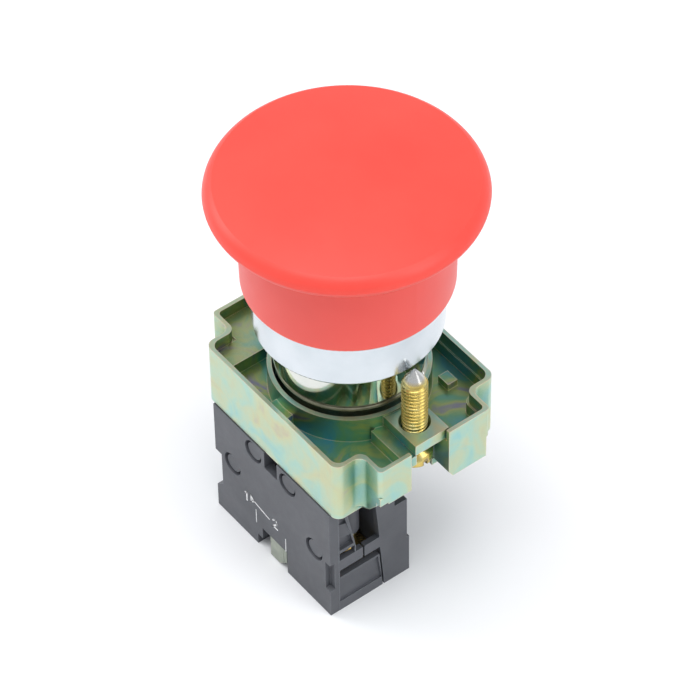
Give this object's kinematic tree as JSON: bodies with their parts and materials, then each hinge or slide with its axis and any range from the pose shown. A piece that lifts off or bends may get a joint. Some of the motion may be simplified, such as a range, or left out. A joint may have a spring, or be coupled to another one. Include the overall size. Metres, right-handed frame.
{
  "type": "emergency stop button",
  "caption": "Push-pull mushroom stop button for a round panel hole, with a clamp-screw mounting body and a normally closed contact block",
  "frame": {"origin": "on the button's axis, in the plane where the gasket and bezel meet the front of the panel", "axes": "+Z out of the panel along the button's axis, X along the long side of the mounting body, and the contact block on the -Y side"},
  "size_m": [0.04, 0.04, 0.0728],
  "materials": {
    "red_plastic": "satin moulded",
    "black_plastic": "moulded",
    "grey_plastic": "fine moulded grain",
    "grey_plastic_printed": "fine moulded grain with white pad printing",
    "red_plunger": "moulded",
    "rubber": "matt nitrile",
    "chrome_ring": "satin chrome plate",
    "plated_barrel": "bright nickel plate",
    "zinc_body": "iridescent yellow chromate on zinc",
    "gold_screw": "yellow chromate on zinc plate",
    "brass_contact": "bright",
    "silver_tip": "bright silver alloy",
    "steel_shaft": "turned",
    "spring_steel": "drawn wire",
    "dark_steel": "oiled",
    "terminal_steel": "yellow zinc plate",
    "latch_zinc": "clear zinc plate"
  },
  "bodies": {
    "base": {"bezel": "chrome_ring", "barrel": "plated_barrel", "panel_gasket": "rubber", "stem_seal": "rubber", "detent_ring": "spring_steel", "barrel_snap_ring": "dark_steel", "mounting_body": "zinc_body", "contact_housing": "grey_plastic", "contact_cover": "grey_plastic_printed", "terminal_left": "brass_contact", "terminal_right": "brass_contact", "fixed_tips": "silver_tip", "latch_pin": "spring_steel", "plunger_spring": "spring_steel"},
    "head": {"mushroom_cap": "red_plastic", "stem": "steel_shaft", "pusher_disc": "black_plastic", "stem_clip": "spring_steel"},
    "plunger": {"contact_plunger": "red_plunger", "contact_bridge": "brass_contact", "bridge_tips": "silver_tip", "bridge_spring": "spring_steel"},
    "clamp_screw_near": {"clamp_screw_near": "gold_screw"},
    "clamp_screw_far": {"clamp_screw_far": "gold_screw"},
    "latch": {"block_latch": "latch_zinc"},
    "saddle_left": {"terminal_saddle_left": "terminal_steel"},
    "terminal_screw_left": {"terminal_screw_left": "terminal_steel"},
    "saddle_right": {"terminal_saddle_right": "terminal_steel"},
    "terminal_screw_right": {"terminal_screw_right": "terminal_steel"}
  },
  "joints": [
    {"name": "head_push", "type": "slide", "parent": "base", "child": "head", "axis": [0, 0, -1], "range_m": [0, 0.0045]},
    {"name": "plunger_slide", "type": "slide", "parent": "base", "child": "plunger", "axis": [0, 0, -1], "range_m": [0, 0.0045], "deforming": ["plunger_spring"]},
    {"name": "clamp_screw_near_slide", "type": "slide", "parent": "base", "child": "clamp_screw_near", "axis": [0, 0, -1], "range_m": [0, 0.008]},
    {"name": "clamp_screw_far_slide", "type": "slide", "parent": "base", "child": "clamp_screw_far", "axis": [0, 0, -1], "range_m": [0, 0.008]},
    {"name": "saddle_left_slide", "type": "slide", "parent": "base", "child": "saddle_left", "axis": [0, 0, 1], "range_m": [0, 0.0019]},
    {"name": "terminal_screw_left_turn", "type": "hinge", "parent": "saddle_left", "child": "terminal_screw_left", "pos_m": [-0.0101, -0.0089, 0], "axis": [0, 0, 1], "range_deg": [0, 1368]},
    {"name": "saddle_right_slide", "type": "slide", "parent": "base", "child": "saddle_right", "axis": [0, 0, 1], "range_m": [0, 0.0019]},
    {"name": "terminal_screw_right_turn", "type": "hinge", "parent": "saddle_right", "child": "terminal_screw_right", "pos_m": [0.0101, -0.0089, 0], "axis": [0, 0, 1], "range_deg": [0, 1368]},
    {"name": "latch_tilt", "type": "hinge", "parent": "base", "child": "latch", "pos_m": [0, -0.0119, -0.036], "axis": [-1, 0, 0], "range_deg": [0, 3.5], "stiffness_Nm_per_rad": 0.02, "springref_deg": -2.86}
  ],
  "couplings": [
    {"joint": "plunger_slide", "follows": "head_push", "ratio": 1},
    {"joint": "terminal_screw_left_turn", "follows": "saddle_left_slide", "rad_per_m": 12566},
    {"joint": "terminal_screw_right_turn", "follows": "saddle_right_slide", "rad_per_m": 12566}
  ]
}
